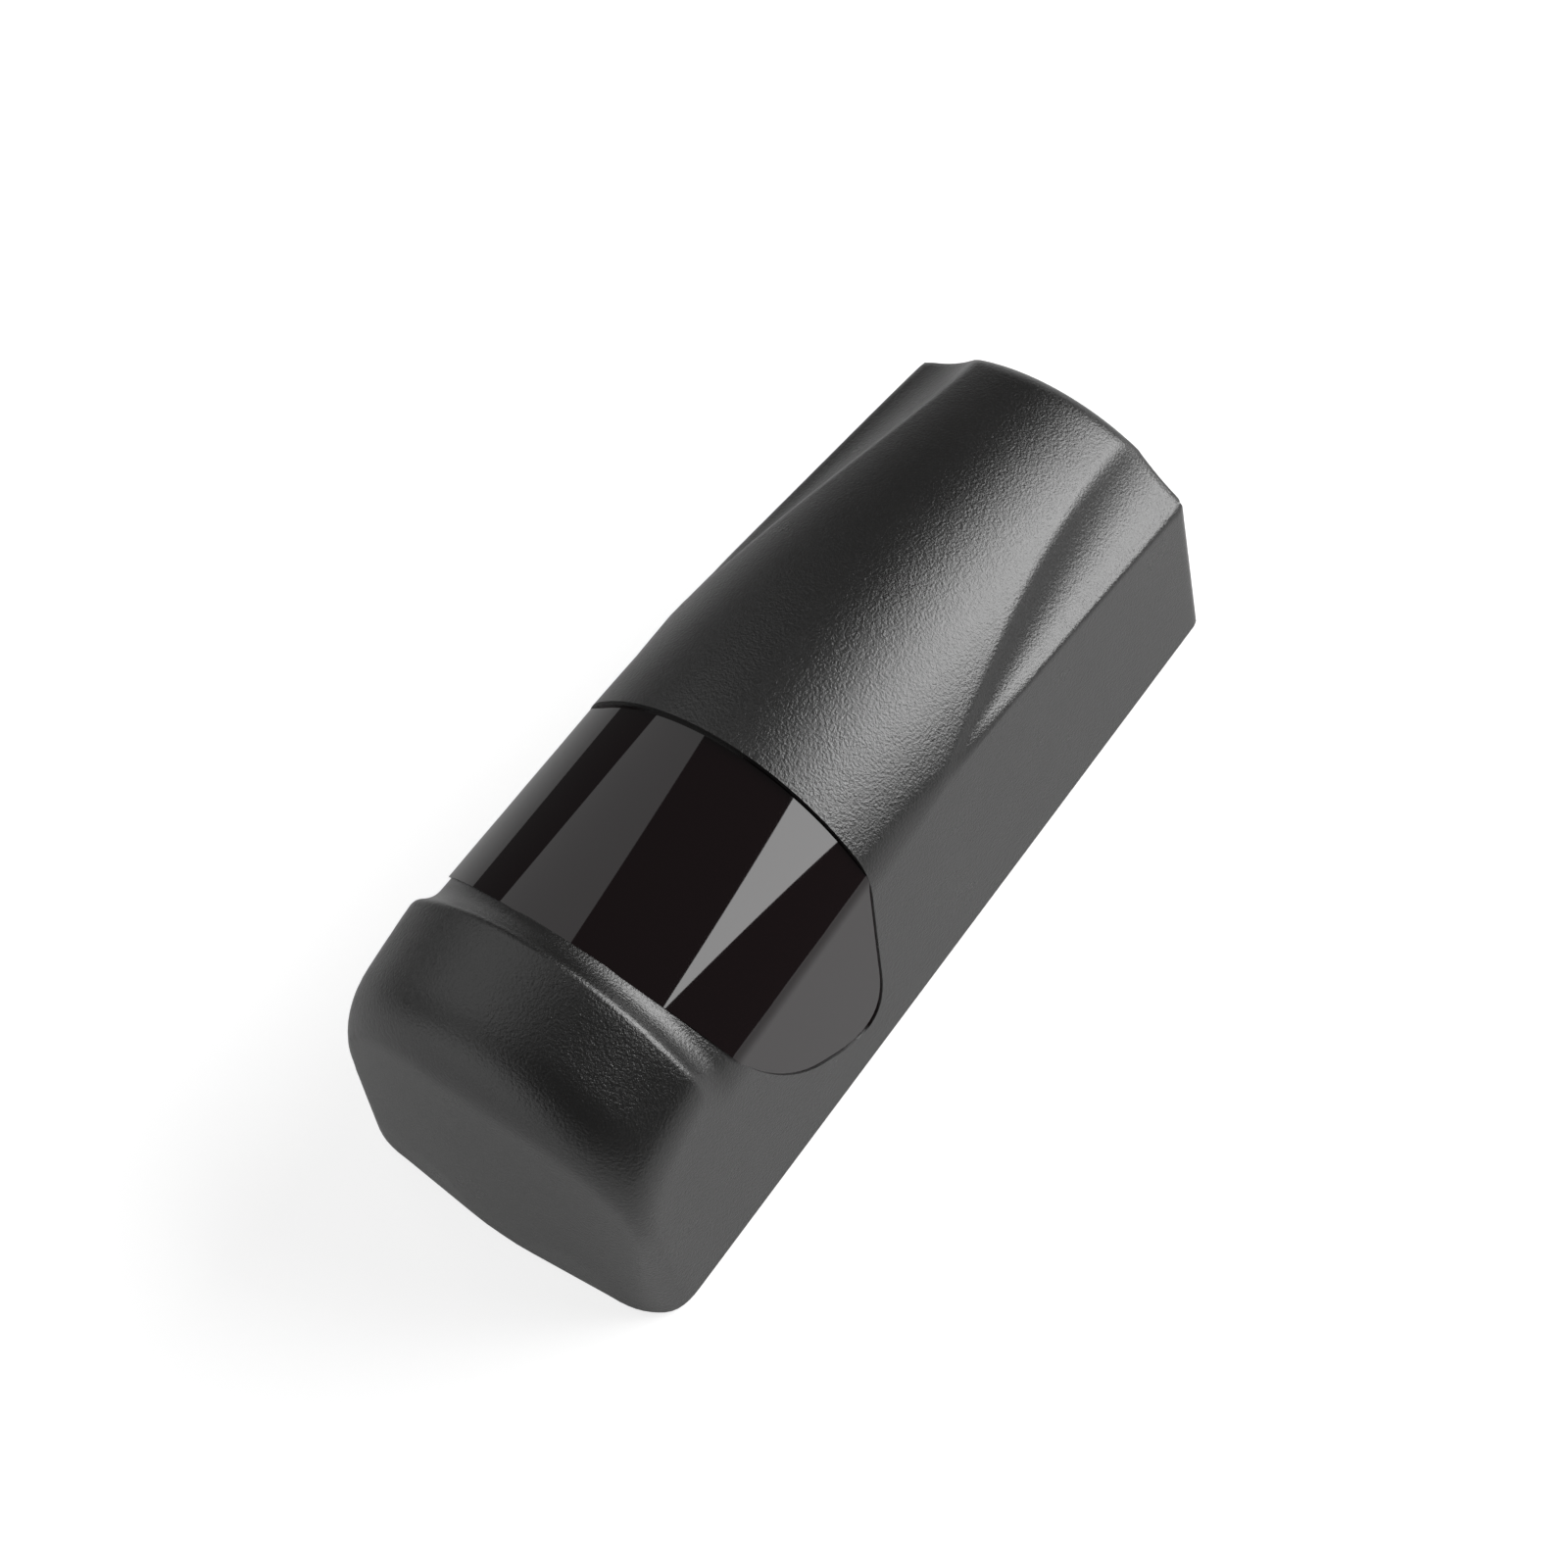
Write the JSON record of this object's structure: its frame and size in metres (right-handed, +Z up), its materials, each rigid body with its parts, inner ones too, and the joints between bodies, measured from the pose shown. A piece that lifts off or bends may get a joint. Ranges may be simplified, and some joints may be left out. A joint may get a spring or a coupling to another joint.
{
  "type": "gate safety photocell",
  "caption": "Wall-mounted infrared safety photocell for a powered gate: snap-fit black cover with a wrap-round dark window, wall base, relay board and a pan-and-tilt lens head.",
  "frame": {"origin": "midway between the two lower wall-screw holes, on the wall plane at the back of the base", "axes": "+X across the case, to the right as seen from the front; +Y from the window into the wall, so the front faces -Y; +Z up along the case"},
  "size_m": [0.0454, 0.0434, 0.1144],
  "materials": {
    "cover_plastic": "fine spark grain, semi-matte",
    "window_plastic": "polished, near-black with a red cast, passes infrared",
    "base_plastic": "smooth satin",
    "seal_foam": "closed-cell foam",
    "grommet_rubber": "smooth",
    "board_green": "solder mask, semi-gloss",
    "screw_zinc": "zinc plated",
    "terminal_green": "moulded, semi-matte",
    "clamp_nickel": "nickel plated",
    "relay_blue": "moulded, semi-gloss",
    "can_sleeve": "shrunk sleeve with a bare aluminium top",
    "varistor_blue": "dipped coating",
    "chip_black": "moulded with tinned legs",
    "can_steel": "drawn can",
    "led_red": "clear tinted epoxy",
    "pin_brass": "gold-flashed pins",
    "jumper_red": "moulded",
    "smd_tan": "ceramic with tinned ends",
    "socket_cream": "moulded nylon",
    "bracket_grey": "moulded, fine grain",
    "washer_steel": "spring steel",
    "tube_black": "matte black",
    "lens_clear": "polished clear lens",
    "diode_dark": "dark daylight-filter epoxy"
  },
  "bodies": {
    "housing": {"base": "base_plastic", "cover_seal": "seal_foam", "cable_grommet": "grommet_rubber", "main_board": "board_green", "board_screws": "screw_zinc", "terminal_block": "terminal_green", "terminal_clamps": "clamp_nickel", "terminal_screws": "screw_zinc", "relay": "relay_blue", "supply_capacitor": "can_sleeve", "filter_capacitor": "can_sleeve", "surge_varistor": "varistor_blue", "bridge_rectifier": "chip_black", "voltage_regulator": "chip_black", "microcontroller": "chip_black", "crystal": "can_steel", "status_led": "led_red", "jumper_pins": "pin_brass", "jumper_cap": "jumper_red", "smd_parts": "smd_tan", "board_socket": "socket_cream", "swivel_bracket": "bracket_grey", "bracket_screws": "screw_zinc", "pan_screw": "screw_zinc", "spring_washer": "washer_steel"},
    "cover": {"front_cover": "cover_plastic", "window": "window_plastic"},
    "swivel": {"yoke": "bracket_grey"},
    "lens_head": {"lens_tube": "tube_black", "lens": "lens_clear", "lens_ring": "tube_black", "detector_board": "board_green", "photodiode": "diode_dark", "head_socket": "socket_cream", "tube_cap": "tube_black"}
  },
  "joints": [
    {"name": "cover_pull", "type": "slide", "parent": "housing", "child": "cover", "axis": [0, -1, 0], "range_m": [0, 0.06]},
    {"name": "head_pan", "type": "hinge", "parent": "housing", "child": "swivel", "pos_m": [0, -0.02171, 0.0552], "axis": [0, 0, 1], "range_deg": [-90, 90]},
    {"name": "head_tilt", "type": "hinge", "parent": "swivel", "child": "lens_head", "pos_m": [0, -0.02171, 0.068], "axis": [1, 0, 0], "range_deg": [-10, 10]}
  ]
}
